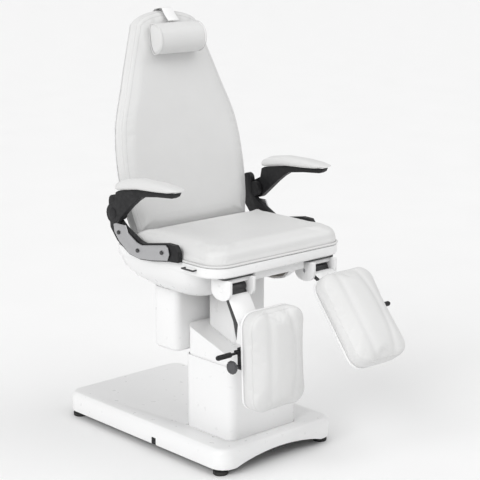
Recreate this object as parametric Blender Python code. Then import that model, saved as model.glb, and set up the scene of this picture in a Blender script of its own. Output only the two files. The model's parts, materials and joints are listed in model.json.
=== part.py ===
"""Electric pedicure chair: lifting column, tilting seat, reclining back, two swing-out leg rests.

Lengths are metres, +Z is up, the sitter faces -Y and the sitter's left is +X.
Every number below is given from the lifting column's axis and from a level
FLOOR below the floor. The empty named chair_origin then moves the whole chair,
so that the origin lies on the floor under the middle of its footprint.
"""

import math

import bmesh
import bpy
from mathutils import Vector

# ---- driving dimensions --------------------------------------------------
CENTRE_Y = -0.0591  # column axis to the middle of the footprint
FLOOR = 0.020  # height of the floor
GAP = 0.0003  # between pieces that touch
LEFT, RIGHT = -1, 1

BASE_HALF_X, BASE_FRONT, BASE_REAR = 0.253, -0.186, 0.638
BASE_BOTTOM, BASE_WALL_TOP, BASE_DECK = 0.042, 0.091, 0.110
COLUMN_DECK = 0.099  # the deck dips to the column
FRAME_BOTTOM, FRAME_TOP = 0.0465, 0.0640  # steel base frame
FOOT_X, FOOT_FRONT, FOOT_REAR, FOOT_RADIUS = 0.223, -0.145, 0.598, 0.0240
ARCH_HALF, ARCH_RISE = 0.190, 0.027  # cut-out in the base's front wall

COLUMN_HALF_X, COLUMN_FRONT, COLUMN_REAR = 0.150, -0.113, 0.115
COLUMN_TOP = 0.345
COVER_WALL = 0.0035
INNER_HALF_X, INNER_FRONT, INNER_REAR = 0.070, -0.047, 0.093  # the tube that rises through it
LIFT_Y = 0.066  # lifting actuator, behind the guide column

SEAT_HALF_X, SEAT_FRONT, SEAT_REAR = 0.284, -0.195, 0.327
LIP_BOTTOM, LIP_TOP = 0.6665, 0.699
CUSHION_TOP, CUSHION_REAR = 0.749, 0.216
TILT_PIN = Vector((0.0, 0.200, 0.625))
TILT_ACTUATOR_X = -0.085
BACK_PIN = Vector((0.0, 0.280, 0.7245))
PIN_RADIUS, PIN_HOLE = 0.0060, 0.0064

BACK_ANGLE = math.radians(11.0)  # lean of the backrest at rest
BACK_FOOT = Vector((0.0, 0.226, 0.745))  # its front face, at the bottom
BACK_HEIGHT = 0.710
# height along the backrest and half width there
BACK_OUTLINE = (
    (0.0, 0.240), (0.065, 0.256), (0.20, 0.265), (0.34, 0.252), (0.45, 0.214),
    (0.56, 0.175), (0.65, 0.141),
)
BACK_SHOULDER = 0.65  # above this height the outline is half an ellipse
CUSHION_DEPTH, SHELL_REAR = 0.045, 0.072
BACK_BOTTOM = -0.007  # the backrest cushion ends just below its front face's foot
PILLOW_HEIGHT, PILLOW_HALF = 0.611, 0.097

ARM_PIN = Vector((0.317, 0.252, 0.815))
ARM_PAD_HALF = 0.034

LEG_PIN = Vector((0.180, -0.160, 0.626))
LEG_RAISE = {LEFT: math.radians(2.0), RIGHT: math.radians(38.0)}  # how far each is raised
LEG_EXTENSION = {LEFT: 0.0, RIGHT: 0.020}  # and slid out
HOUSING_HALF, HOUSING_INNER = 0.0535, 0.0430
# the leg rest hanging down, measured from its pivot
PAD_INWARD = 0.045  # the leg pad's middle lies this far inside its pivot
PAD_HALF, PAD_TOP, PAD_BOTTOM = 0.1105, -0.053, -0.369
RAIL_BACK, RAIL_FRONT, RAIL_END = -0.0810, -0.0925, -0.340
BOARD_BACK, PAD_BACK, PAD_SEAM, PAD_FRONT = -0.0930, -0.1045, -0.1500, -0.1750
CLAMP_TOP, CLAMP_BOTTOM = -0.168, -0.236
KNOB_DROP, LEVER_DROP, KNOB_DEPTH = -0.222, -0.181, -0.0825

# colour, roughness, metallic
LOOKS = {
    "white_plastic": ((0.87, 0.87, 0.87), 0.30, 0.0),
    "upholstery": ((0.74, 0.74, 0.74), 0.55, 0.0),
    "black_plastic": ((0.02, 0.02, 0.02), 0.42, 0.0),
    "black_steel": ((0.03, 0.03, 0.03), 0.40, 0.6),
    "aluminium": ((0.62, 0.62, 0.63), 0.28, 1.0),
    "steel": ((0.45, 0.45, 0.47), 0.35, 1.0),
    "rubber": ((0.015, 0.015, 0.015), 0.80, 0.0),
    "plywood": ((0.55, 0.42, 0.27), 0.75, 0.0),
    "knob_plastic": ((0.06, 0.06, 0.065), 0.50, 0.0),
}

PLACE = {}  # where each joint's empty stands
EMPTY = {}  # and the empty itself


# ---- scene and joints ----------------------------------------------------
def clear_scene():
    for obj in list(bpy.data.objects):
        bpy.data.objects.remove(obj, do_unlink=True)


def make_look(name):
    colour, roughness, metallic = LOOKS[name]
    look = bpy.data.materials.new(name)
    look.use_nodes = True
    shader = look.node_tree.nodes["Principled BSDF"]
    shader.inputs["Base Color"].default_value = (*colour, 1.0)
    shader.inputs["Roughness"].default_value = roughness
    shader.inputs["Metallic"].default_value = metallic
    return look


def add_joint(name, parent, place, pitch=0.0, slid=0.0):
    """An empty on a joint's axis. What hangs from it turns or slides with it."""
    empty = bpy.data.objects.new(name, None)
    bpy.context.scene.collection.objects.link(empty)
    place = Vector(place)
    if parent:
        empty.parent = EMPTY[parent]
        empty.location = place - PLACE[parent] - Vector((0, 0, slid))
    else:
        empty.location = (0.0, CENTRE_Y, -FLOOR)
    empty.rotation_euler = (pitch, 0.0, 0.0)
    PLACE[name], EMPTY[name] = place, empty


def add_piece(name, shape, look, joint):
    """One solid piece, given in the chair's coordinates, hung from its joint."""
    bmesh.ops.translate(shape, verts=shape.verts, vec=-PLACE[joint])
    bmesh.ops.recalc_face_normals(shape, faces=shape.faces)
    mesh = bpy.data.meshes.new(name)
    shape.to_mesh(mesh)
    shape.free()
    mesh.shade_smooth()
    mesh.set_sharp_from_angle(angle=math.radians(38))
    mesh.materials.append(look)
    piece = bpy.data.objects.new(name, mesh)
    bpy.context.scene.collection.objects.link(piece)
    piece.parent = EMPTY[joint]
    return piece


def combine(piece, shape, joint, operation):
    """Cut shape from piece, or join it on, with a hidden helper object."""
    count = len(piece.modifiers)
    helper = add_piece(f"{piece.name}_{operation.lower()}_{count}", shape, None, joint)
    helper.hide_render = True
    helper.display_type = "WIRE"
    step = piece.modifiers.new(helper.name, "BOOLEAN")
    step.operation = operation
    step.object = helper


def cut(piece, shape, joint):
    combine(piece, shape, joint, "DIFFERENCE")


def join(piece, shape, joint):
    combine(piece, shape, joint, "UNION")


# ---- shapes --------------------------------------------------------------
def block(x, y, z, rounding=0.0):
    """A box between two values on each axis, with its edges rounded."""
    shape = bmesh.new()
    bmesh.ops.create_cube(shape, size=1.0)
    size = Vector((abs(x[1] - x[0]), abs(y[1] - y[0]), abs(z[1] - z[0])))
    middle = Vector((sum(x) / 2, sum(y) / 2, sum(z) / 2))
    bmesh.ops.scale(shape, verts=shape.verts, vec=size)
    bmesh.ops.translate(shape, verts=shape.verts, vec=middle)
    if rounding:
        bmesh.ops.bevel(
            shape, geom=list(shape.edges), offset=rounding, segments=2, profile=0.5, affect="EDGES"
        )
    return shape


def rounded_rectangle(x, y, z, radius, steps=4, rear_radius=None):
    """Corner arcs of a rectangle at height z, counter-clockwise from the front right."""
    rear = radius if rear_radius is None else rear_radius
    corners = (
        (x[1], y[0], radius, -90), (x[1], y[1], rear, 0),
        (x[0], y[1], rear, 90), (x[0], y[0], radius, 180),
    )
    points = []
    for corner_x, corner_y, r, start in corners:
        centre_x = corner_x - math.copysign(r, corner_x - sum(x) / 2)
        centre_y = corner_y - math.copysign(r, corner_y - sum(y) / 2)
        for k in range(steps + 1):
            angle = math.radians(start + 90 * k / steps)
            points.append(
                Vector((centre_x + r * math.cos(angle), centre_y + r * math.sin(angle), z))
            )
    return points


def circle(centre, radius, along, sides=16):
    """A ring of points around centre, square to the unit vector along."""
    along = Vector(along)
    first = along.orthogonal().normalized()
    second = along.cross(first)
    turns = (math.tau * k / sides for k in range(sides))
    return [Vector(centre) + radius * (first * math.cos(a) + second * math.sin(a)) for a in turns]


def loft(rings, closed=False):
    """Skin rings of equal length. closed joins the last ring to the first; otherwise both are capped."""
    shape = bmesh.new()
    rows = [[shape.verts.new(point) for point in ring] for ring in rings]
    pairs = list(zip(rows, rows[1:]))
    if closed:
        pairs.append((rows[-1], rows[0]))
    for low, high in pairs:
        for k in range(len(low)):
            n = (k + 1) % len(low)
            shape.faces.new((low[k], low[n], high[n], high[k]))
    if not closed:
        shape.faces.new(rows[0][::-1])
        shape.faces.new(rows[-1])
    return shape


def turned(centre, along, profile, sides=16):
    """A solid of revolution from (distance along, radius) pairs."""
    along = Vector(along)
    centre = Vector(centre)
    return loft([circle(centre + along * d, r, along, sides) for d, r in profile])


def rod(start, end, radius, sides=16):
    start, end = Vector(start), Vector(end)
    length = (end - start).length
    return turned(start, (end - start) / length, ((0.0, radius), (length, radius)), sides)


def plate_x(points, x):
    """A (y, z) outline extruded along X."""
    return loft([[Vector((level, y, z)) for y, z in points] for level in sorted(x)])


def sleeve(half_x, front, rear, bottom, top, radius, wall):
    """A hollow rectangular cover, open at both ends. top gives its height from y."""
    def ring(inset, height):
        points = rounded_rectangle(
            (-half_x + inset, half_x - inset), (front + inset, rear - inset), 0.0, radius - inset
        )
        for point in points:
            point.z = height(point.y)
        return points

    rings = [
        ring(0.0, lambda y: bottom), ring(0.0, top), ring(wall, top), ring(wall, lambda y: bottom)
    ]
    return loft(rings, closed=True)


def arc(centre, radius, start, end, steps):
    """Points of a circle in degrees, as (y, z) pairs."""
    angles = (math.radians(start + (end - start) * k / steps) for k in range(steps + 1))
    return [(centre[0] + radius * math.cos(a), centre[1] + radius * math.sin(a)) for a in angles]


def hole_x(place, x, radius=PIN_HOLE):
    """A cutter for a round hole along X through place."""
    return rod((x[0], place[1], place[2]), (x[1], place[1], place[2]), radius, 12)


# ---- base and lifting column ---------------------------------------------
def build_base(look):
    add_piece("base_cover", base_cover_shape(), look["white_plastic"], "chair_origin")
    cover = bpy.data.objects["base_cover"]
    arch = [(-ARCH_HALF, 0.030)]
    for k in range(15):
        x = ARCH_HALF * (k / 7 - 1)
        arch.append((x, BASE_BOTTOM - 0.0005 + ARCH_RISE * math.cos(x / ARCH_HALF * math.pi / 2) ** 0.8))
    arch.append((ARCH_HALF, 0.030))
    depths = (BASE_FRONT - 0.01, BASE_FRONT + 0.02)
    cut(cover, loft([[Vector((x, y, z)) for x, z in arch] for y in depths]), "chair_origin")
    edge = -BASE_HALF_X
    cut(cover, block((edge - 0.01, edge + 0.01), (0.142, 0.164), (0.030, 0.066)), "chair_origin")

    inlet = block((edge - 0.0005, edge + 0.014), (0.1425, 0.1635), (0.0425, 0.0655), 0.002)
    add_piece("power_inlet", inlet, look["black_plastic"], "chair_origin")

    build_base_frame(look)
    for side, left_right in ((LEFT, "left"), (RIGHT, "right")):
        for y, end in ((FOOT_FRONT, "front"), (FOOT_REAR, "rear")):
            profile = (
                (0.0, FOOT_RADIUS - 0.002), (0.002, FOOT_RADIUS), (0.012, FOOT_RADIUS),
                (0.017, 0.015), (0.018, 0.006), (FRAME_BOTTOM - FLOOR - GAP, 0.006),
            )
            foot = turned((side * FOOT_X, y, FLOOR), (0, 0, 1), profile)
            add_piece(f"{end}_{left_right}_foot", foot, look["rubber"], "chair_origin")

    cover = sleeve(
        COLUMN_HALF_X, COLUMN_FRONT, COLUMN_REAR, 0.070, lambda y: COLUMN_TOP, 0.030, COVER_WALL
    )
    add_piece("column_cover", cover, look["white_plastic"], "chair_origin")
    guide = sleeve(0.040, -0.040, 0.040, FRAME_TOP + GAP, lambda y: 0.400, 0.006, 0.004)
    add_piece("guide_column", guide, look["steel"], "chair_origin")
    bottom = FRAME_TOP + GAP
    tube = loft([
        circle((0.0, LIFT_Y, z), r, (0, 0, 1))
        for z, r in ((0.074, 0.0125), (0.370, 0.0125), (0.370, 0.0205), (bottom, 0.0205))
    ])
    add_piece("lift_actuator_tube", tube, look["black_steel"], "chair_origin")


def base_cover_shape():
    """An open-bottomed cover: a walled rectangle whose deck rises to the column's opening."""
    def outer(inset, z, steps=4):
        x = (-BASE_HALF_X + inset, BASE_HALF_X - inset)
        return rounded_rectangle(x, (BASE_FRONT + inset, BASE_REAR - inset), z, 0.050 - inset, steps)

    def opening(z):
        edge = COLUMN_HALF_X + 0.0006
        y = (COLUMN_FRONT - 0.0006, COLUMN_REAR + 0.0006)
        return rounded_rectangle((-edge, edge), y, z, 0.030)

    rings = [
        outer(0.0, BASE_BOTTOM), outer(0.0, BASE_WALL_TOP), outer(0.004, BASE_WALL_TOP + 0.010),
        outer(0.012, BASE_DECK - 0.001), outer(0.030, BASE_DECK), opening(COLUMN_DECK),
        opening(COLUMN_DECK - 0.004), outer(0.030, BASE_DECK - 0.004), outer(0.014, BASE_DECK - 0.006),
        outer(0.0045, BASE_WALL_TOP), outer(0.0045, BASE_BOTTOM),
    ]
    return loft(rings, closed=True)


def build_base_frame(look):
    height = (FRAME_BOTTOM, FRAME_TOP)
    rail = (0.205, 0.238)
    frame = block((-rail[1], -rail[0]), (-0.160, 0.615), height)
    frame = add_piece("base_frame", frame, look["black_steel"], "chair_origin")
    join(frame, block((rail[0], rail[1]), (-0.160, 0.615), height), "chair_origin")
    inset = (FRAME_BOTTOM + 0.001, FRAME_TOP - 0.001)
    for y, level in (((-0.158, -0.128), inset), ((0.583, 0.613), inset), ((-0.075, 0.095), height)):
        edge = 0.220 if level is inset else 0.2055
        join(frame, block((-edge, edge), y, level), "chair_origin")


def build_lift(look):
    def sleeve_top(y):
        return max(0.385, 0.390 + 0.344 * (y + 0.050))

    def inner_top(y):
        return 0.610 - 0.100 * y

    def sleeve_ring(inset, height):
        x = (-0.1445 + inset, 0.1445 - inset)
        points = rounded_rectangle(x, (-0.1075 + inset, 0.1095 - inset), 0.0, 0.028 - inset)
        for point in points:
            point.z = height(point.y)
        return points

    def roof_opening(drop):
        x = (-INNER_HALF_X - 0.001, INNER_HALF_X + 0.001)
        points = rounded_rectangle(x, (INNER_FRONT - 0.001, INNER_REAR + 0.001), 0.0, 0.025)
        for point in points:
            point.z = sleeve_top(point.y) - drop
        return points

    # open below, with a sloping roof that the inner column rises through
    rings = [
        sleeve_ring(0.0, lambda y: 0.150), sleeve_ring(0.0, sleeve_top), roof_opening(0.0),
        roof_opening(0.0035), sleeve_ring(0.003, lambda y: sleeve_top(y) - 0.0035),
        sleeve_ring(0.003, lambda y: 0.150),
    ]
    add_piece("sleeve_cover", loft(rings, closed=True), look["white_plastic"], "sleeve")
    cover = sleeve(INNER_HALF_X, INNER_FRONT, INNER_REAR, 0.250, inner_top, 0.024, 0.003)
    add_piece("inner_column_cover", cover, look["white_plastic"], "lift")
    piston = rod((0.0, LIFT_Y, 0.240), (0.0, LIFT_Y, 0.602 - GAP), 0.011)
    add_piece("lift_actuator_rod", piston, look["aluminium"], "lift")

    # the post that slides in the guide column, welded under the head's plates
    post = sleeve(0.0355, -0.0355, 0.0355, 0.225, lambda y: 0.604, 0.004, 0.004)
    head = add_piece("lift_carriage", post, look["black_steel"], "lift")
    join(head, block((-0.052, 0.052), (-0.038, 0.105), (0.602, 0.610)), "lift")
    join(head, block((-0.115, 0.1155), (0.100, 0.215), (0.6018, 0.6102)), "lift")
    for side in (LEFT, RIGHT):
        ear = block((side * 0.100, side * 0.108), (0.188, 0.212), (0.605, 0.640))
        join(head, ear, "lift")
    join(head, block((-0.050, 0.050), (0.0999, 0.106), (0.535, 0.606)), "lift")
    join(head, block((-0.049, 0.049), (0.104, 0.118 - GAP), (0.536, 0.552)), "lift")
    cut(head, hole_x(TILT_PIN, (-0.13, 0.13)), "lift")
    pin = rod(TILT_PIN - Vector((0.116, 0, 0)), TILT_PIN + Vector((0.116, 0, 0)), PIN_RADIUS, 12)
    add_piece("tilt_pin", pin, look["steel"], "lift")

    def box_ring(inset, z, radius=0.028):
        x = (-0.180 + inset, 0.180 - inset)
        return rounded_rectangle(x, (0.118 + inset, 0.240 - inset), z, radius - inset)

    rings = [
        box_ring(0.0035, 0.355), box_ring(0.0035, 0.557), box_ring(0.0, 0.557),
        box_ring(0.0, 0.358), box_ring(0.007, 0.350),
    ]
    add_piece("rear_housing", loft(rings), look["white_plastic"], "lift")
    control = block((-0.140, 0.140), (0.130, 0.226), (0.3555, 0.500), 0.004)
    add_piece("control_box", control, look["black_plastic"], "lift")


# ---- seat ----------------------------------------------------------------
def build_seat(look):
    add_piece("seat_pan", seat_pan_shape(), look["white_plastic"], "seat")
    pan = bpy.data.objects["seat_pan"]
    cut(pan, block((-0.160, 0.160), (-0.118, 0.130), (0.50, 0.652)), "seat")
    join(pan, block((-0.108, 0.108), (-0.178, -0.150), (0.640, 0.670), 0.003), "seat")
    for x in (0.0, TILT_ACTUATOR_X):
        cut(pan, block((x - 0.026, x + 0.026), (-0.148, -0.050), (0.600, 0.720)), "seat")
    build_seat_frame(look)
    board = loft([
        rounded_rectangle((-0.266, 0.266), (-0.176, 0.205), z, 0.055, 4, 0.010)
        for z in (0.6895, LIP_TOP + 0.0005)
    ])
    add_piece("seat_board", board, look["plywood"], "seat")

    def cushion_ring(inset, z):
        x = (-SEAT_HALF_X + inset, SEAT_HALF_X - inset)
        y = (SEAT_FRONT + inset, CUSHION_REAR - inset)
        return rounded_rectangle(x, y, z, 0.070 - inset, 5, 0.022 - inset)

    rings = [
        cushion_ring(0.004, LIP_TOP + 0.0010), cushion_ring(0.0, 0.706),
        cushion_ring(0.0, CUSHION_TOP - 0.014), cushion_ring(0.008, CUSHION_TOP),
    ]
    add_piece("seat_cushion", loft(rings), look["upholstery"], "seat")

    profile = ((0.0, 0.018), (0.190, 0.018), (0.190, 0.007), (0.298, 0.007))
    actuator = turned((TILT_ACTUATOR_X, -0.123, 0.647), (0, 1, 0), profile)
    add_piece("tilt_actuator", actuator, look["black_steel"], "seat")
    profile = ((0.0, 0.018), (0.240, 0.018), (0.240, 0.007), (0.383, 0.007))
    actuator = turned((0.0, -0.123, 0.647), (0, 1, 0), profile)
    add_piece("recline_actuator", actuator, look["black_steel"], "seat")

    add_piece("side_hook", side_hook_shape(), look["black_steel"], "seat")
    pin = rod(BACK_PIN - Vector((0.188, 0, 0)), BACK_PIN + Vector((0.188, 0, 0)), PIN_RADIUS, 12)
    add_piece("recline_pin", pin, look["steel"], "seat")


def seat_pan_shape():
    """A deep tub under a shallow tray. Each row: half width, front, rear, height, corner radius."""
    outside = (
        (0.170, 0.000, 0.170, 0.560, 0.050), (0.215, -0.035, 0.215, 0.573, 0.060),
        (0.248, -0.060, 0.272, 0.600, 0.065), (0.270, -0.075, 0.310, 0.632, 0.068),
        (0.279, -0.080, 0.323, LIP_BOTTOM - 0.0008, 0.070),
        (0.2815, -0.190, 0.3255, LIP_BOTTOM, 0.070),
        (SEAT_HALF_X, SEAT_FRONT, SEAT_REAR, 0.671, 0.070),
        (SEAT_HALF_X, SEAT_FRONT, SEAT_REAR, LIP_TOP, 0.070),
    )
    inside = (
        (0.279, -0.190, 0.322, LIP_TOP, 0.064), (0.279, -0.190, 0.322, 0.6755, 0.064),
        (0.272, -0.074, 0.316, 0.6748, 0.064), (0.263, -0.069, 0.304, 0.635, 0.062),
        (0.241, -0.053, 0.265, 0.605, 0.060), (0.209, -0.029, 0.208, 0.579, 0.055),
        (0.165, 0.004, 0.165, 0.566, 0.046),
    )
    return loft([
        rounded_rectangle((-half, half), (front, rear), z, radius)
        for half, front, rear, z, radius in outside + inside
    ])


def build_seat_frame(look):
    height = (0.6760, 0.6890)
    inset = (0.6765, 0.6885)
    frame = add_piece("seat_frame", block((-0.250, -0.215), (-0.150, 0.300), height),
                      look["black_steel"], "seat")
    join(frame, block((0.215, 0.250), (-0.150, 0.300), height), "seat")
    for y in ((-0.148, -0.115), (0.180, 0.220), (0.268, 0.299)):
        join(frame, block((-0.230, 0.230), y, inset), "seat")
    join(frame, block((-0.105, -0.065), (-0.120, 0.190), (0.6770, 0.6880)), "seat")
    for x in (0.0, TILT_ACTUATOR_X):
        join(frame, block((x - 0.012, x + 0.012), (-0.145, -0.1235), (0.635, 0.680)), "seat")
    for side in (LEFT, RIGHT):
        lug = block((side * 0.086, side * 0.096), (0.191, 0.209), (0.6145, 0.680))
        join(frame, lug, "seat")
        lug = block((side * 0.176, side * 0.184), (0.272, 0.288), (0.680, 0.7335))
        join(frame, lug, "seat")
    cut(frame, hole_x(TILT_PIN, (-0.13, 0.13)), "seat")
    cut(frame, hole_x(BACK_PIN, (-0.20, 0.20)), "seat")


def side_hook_shape():
    """A flat U loop on the left side of the seat pan's lip."""
    outer_x, inner_x = -SEAT_HALF_X - 0.017, -SEAT_HALF_X - GAP
    front, rear, bar = -0.108, -0.052, 0.005
    outline = (
        (inner_x, front), (inner_x, front + bar), (outer_x + bar, front + bar),
        (outer_x + bar, rear - bar), (inner_x, rear - bar), (inner_x, rear),
        (outer_x, rear), (outer_x, front),
    )
    return loft([[Vector((x, y, z)) for x, y in outline] for z in (0.684, 0.689)])


def build_bracket(look, side, name):
    """The L-shaped armrest bracket: plastic body, metal face, three bolts."""
    body = [
        (-0.042, 0.701), (0.004, 0.697), (0.083, 0.684), (0.143, 0.679), (0.200, 0.687),
        (0.262, 0.722), (0.296, 0.760), (0.303, 0.820),
    ]
    body += arc((0.283, 0.848), 0.020, 0, 180, 6)
    body += [
        (0.262, 0.800), (0.225, 0.772), (0.196, 0.758), (0.152, 0.737), (0.127, 0.733),
        (0.013, 0.753), (-0.026, 0.752), (-0.040, 0.735),
    ]
    inner, outer = SEAT_HALF_X + 0.0015, 0.3030
    body = add_piece(f"{name}_bracket_body", plate_x(body, (side * inner, side * outer)),
                     look["black_plastic"], "seat")
    boss = turned((side * (inner + 0.001), ARM_PIN.y, ARM_PIN.z), (side, 0, 0),
                  ((0.0, 0.026), (0.0165, 0.026), (0.0190, 0.023)), 20)
    join(body, boss, "seat")
    cut(body, hole_x(ARM_PIN, (side * 0.290, side * 0.330)), "seat")
    face = [
        (0.004, 0.701), (0.083, 0.688), (0.143, 0.683), (0.194, 0.691), (0.245, 0.724),
        (0.268, 0.750), (0.272, 0.775), (0.258, 0.780), (0.212, 0.780),
        (0.200, 0.757), (0.152, 0.733), (0.127, 0.729), (0.013, 0.749), (0.000, 0.742),
        (-0.006, 0.722),
    ]
    face_x = (0.3050, 0.3095)
    plate = add_piece(f"{name}_bracket_face", plate_x(face, (side * face_x[0], side * face_x[1])),
                      look["aluminium"], "seat")
    strip = [(0.022, 0.716), (0.150, 0.700), (0.254, 0.747), (0.246, 0.757), (0.150, 0.716),
             (0.022, 0.729)]
    bolts = plate_x(strip, (side * (outer + GAP), side * 0.3047))
    bolts = add_piece(f"{name}_bracket_bolts", bolts, look["black_steel"], "seat")
    for y, z in ((0.030, 0.722), (0.150, 0.708), (0.246, 0.751)):
        start = Vector((side * 0.3038, y, z))
        outward = (side, 0, 0)
        cut(plate, turned(start, outward, ((0, 0.0045), (0.012, 0.0045)), 12), "seat")
        profile = ((0.0, 0.0040), (0.0060, 0.0040), (0.0060, 0.0072), (0.0090, 0.0060))
        join(bolts, turned(start, outward, profile, 12), "seat")


# ---- backrest ------------------------------------------------------------
def back_point(x, height, depth):
    """A point given across the backrest, up along it and behind its front face."""
    up = Vector((0.0, math.sin(BACK_ANGLE), math.cos(BACK_ANGLE)))
    behind = Vector((0.0, math.cos(BACK_ANGLE), -math.sin(BACK_ANGLE)))
    return BACK_FOOT + Vector((x, 0.0, 0.0)) + up * height + behind * depth


def back_half_width(height):
    """Half width at a height: a smooth curve through BACK_OUTLINE, then half an ellipse."""
    if height >= BACK_SHOULDER:
        share = (height - BACK_SHOULDER) / (BACK_HEIGHT - BACK_SHOULDER)
        return BACK_OUTLINE[-1][1] * math.sqrt(max(0.0, 1.0 - share**2.2))
    height = max(height, 0.0)
    for k in range(len(BACK_OUTLINE) - 1):
        if height <= BACK_OUTLINE[k + 1][0]:
            break
    before = BACK_OUTLINE[max(k - 1, 0)]
    start, end = BACK_OUTLINE[k], BACK_OUTLINE[k + 1]
    after = BACK_OUTLINE[min(k + 2, len(BACK_OUTLINE) - 1)]
    t = (height - start[0]) / (end[0] - start[0])
    span = end[0] - start[0]
    slope_start = (end[1] - before[1]) / max(end[0] - before[0], 1e-6) * span
    slope_end = (after[1] - start[1]) / max(after[0] - start[0], 1e-6) * span
    return (
        (2 * t**3 - 3 * t**2 + 1) * start[1] + (t**3 - 2 * t**2 + t) * slope_start
        + (3 * t**2 - 2 * t**3) * end[1] + (t**3 - t**2) * slope_end
    )


def back_ring(inset, depth, bottom=0.0):
    """The backrest's outline, drawn in by inset, at a depth."""
    heights = [0.0, 0.03, 0.065, 0.13, 0.20, 0.27, 0.34, 0.395, 0.45, 0.505, 0.56, 0.605, 0.65]
    heights += [0.670, 0.687, 0.699, 0.7065]
    low = bottom + inset
    heights = [low + (BACK_HEIGHT - inset - low) * h / BACK_HEIGHT for h in heights]
    right = [(back_half_width(h + inset * (2 * h / BACK_HEIGHT - 1)) - inset, h) for h in heights]
    top = [(0.0, BACK_HEIGHT - inset)]
    left = [(-x, h) for x, h in reversed(right)]
    return [back_point(x, h, depth) for x, h in right + top + left]


def build_back(look):
    rings = [
        back_ring(0.012, 0.0, BACK_BOTTOM), back_ring(0.003, 0.006, BACK_BOTTOM),
        back_ring(0.0, 0.016, BACK_BOTTOM), back_ring(0.0, CUSHION_DEPTH - 0.004, BACK_BOTTOM),
        back_ring(0.003, CUSHION_DEPTH, BACK_BOTTOM),
    ]
    add_piece("backrest_cushion", loft(rings), look["upholstery"], "back")
    rim = CUSHION_DEPTH + GAP
    rings = [
        back_ring(0.036, SHELL_REAR - 0.004), back_ring(0.014, 0.055), back_ring(0.009, rim),
        back_ring(0.003, rim), back_ring(0.009, 0.056), back_ring(0.034, SHELL_REAR),
    ]
    shell = add_piece("backrest_shell", loft(rings), look["white_plastic"], "back")
    cut(shell, back_box((-0.166, 0.166), (-0.02, 0.046), (0.040, 0.0695)), "back")

    rail = (0.140, 0.160)
    depth = (CUSHION_DEPTH + 2 * GAP, 0.0665)
    frame = add_piece("backrest_frame", back_box((-rail[1], -rail[0]), (-0.022, 0.480), depth),
                      look["black_steel"], "back")
    join(frame, back_box(rail, (-0.022, 0.480), depth), "back")
    inner = (depth[0] + 0.001, depth[1] - 0.001)
    for height in ((0.050, 0.080), (0.448, 0.478)):
        join(frame, back_box((-0.150, 0.150), height, inner), "back")
    cut(frame, hole_x(BACK_PIN, (-0.20, 0.20)), "back")

    def pillow_ring(x, scale):
        # a D: nearly flat against the backrest, round in front
        ring = []
        for k in range(24):
            a = math.tau * k / 24
            reach = 0.050 if math.cos(a) < 0 else 0.018
            ring.append(back_point(
                x, PILLOW_HEIGHT + 0.053 * scale * math.sin(a), -0.0205 + reach * scale * math.cos(a)
            ))
        return ring

    half = PILLOW_HALF
    ends = ((-half, 0.86), (-half + 0.008, 1.0), (half - 0.008, 1.0), (half, 0.86))
    rings = [pillow_ring(x, scale) for x, scale in ends]
    add_piece("head_pillow", loft(rings), look["upholstery"], "back")
    add_piece("pillow_strap", strap_shape(), look["white_plastic"], "back")


def back_box(x, height, depth):
    """A box in the backrest's own directions."""
    return loft([
        [back_point(x[0], h, d), back_point(x[1], h, d),
         back_point(x[1], h, e), back_point(x[0], h, e)]
        for h, d, e in ((height[0], *depth), (height[1], *depth))
    ])


def strap_shape():
    """The band from the pillow over the top of the backrest, down to its rear face."""
    route = (
        (-0.0225, 0.6665), (-0.0060, 0.690), (0.004, 0.7115), (0.014, 0.7135), (0.042, 0.7135),
        (0.0575, 0.7045), (0.0735, 0.6785), (0.0745, 0.590),
    )
    thick = 0.0022
    offset = []
    for k, (depth, height) in enumerate(route):
        before, after = route[max(k - 1, 0)], route[min(k + 1, len(route) - 1)]
        run = Vector((after[0] - before[0], after[1] - before[1])).normalized()
        offset.append((depth - run.y * thick, height + run.x * thick))
    outline = list(route) + offset[::-1]
    return loft([[back_point(x, h, d) for d, h in outline] for x in (-0.0225, 0.0225)])


# ---- armrests ------------------------------------------------------------
def build_arm(look, side, name):
    joint = f"{name}_arm"
    # the lever, from its round foot up and forward to the tip
    foot = arc((ARM_PIN.y, ARM_PIN.z), 0.032, -128, 62, 9)
    lever = foot + [
        (0.240, 0.856), (0.234, 0.886), (0.220, 0.8935), (0.115, 0.9095), (0.017, 0.9145),
        (-0.040, 0.9195), (-0.067, 0.9265), (-0.060, 0.914), (-0.045, 0.9065), (0.030, 0.900),
        (0.100, 0.890), (0.130, 0.873), (0.161, 0.850),
    ]
    body = plate_x(lever, (side * 0.3070, side * 0.3280))
    body = add_piece(f"{name}_arm_lever", body, look["black_plastic"], joint)
    pin = rod((side * 0.292, ARM_PIN.y, ARM_PIN.z), (side * 0.315, ARM_PIN.y, ARM_PIN.z),
              PIN_RADIUS, 12)
    join(body, pin, joint)

    # the pad: y, underside, top, half width
    stations = (
        (0.236, 0.8965, 0.908, 0.014), (0.225, 0.8950, 0.921, 0.026), (0.190, 0.9000, 0.936, 0.033),
        (0.115, 0.9115, 0.947, ARM_PAD_HALF), (0.017, 0.9165, 0.948, ARM_PAD_HALF),
        (-0.040, 0.9215, 0.943, 0.033), (-0.076, 0.9295, 0.937, 0.024), (-0.086, 0.9320, 0.9345, 0.012),
    )
    rings = []
    for y, low, high, half in stations:
        ring = []
        for k in range(16):
            a = math.tau * k / 16
            across = math.copysign(abs(math.cos(a)) ** 0.7, math.cos(a))
            rise = math.copysign(abs(math.sin(a)) ** 0.8, math.sin(a))
            middle = low + (high - low) * 0.35
            z = middle + rise * ((high - middle) if rise > 0 else (middle - low))
            ring.append(Vector((side * ARM_PIN.x + half * across, y, z)))
        rings.append(ring)
    add_piece(f"{name}_arm_pad", loft(rings), look["upholstery"], joint)


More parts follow.
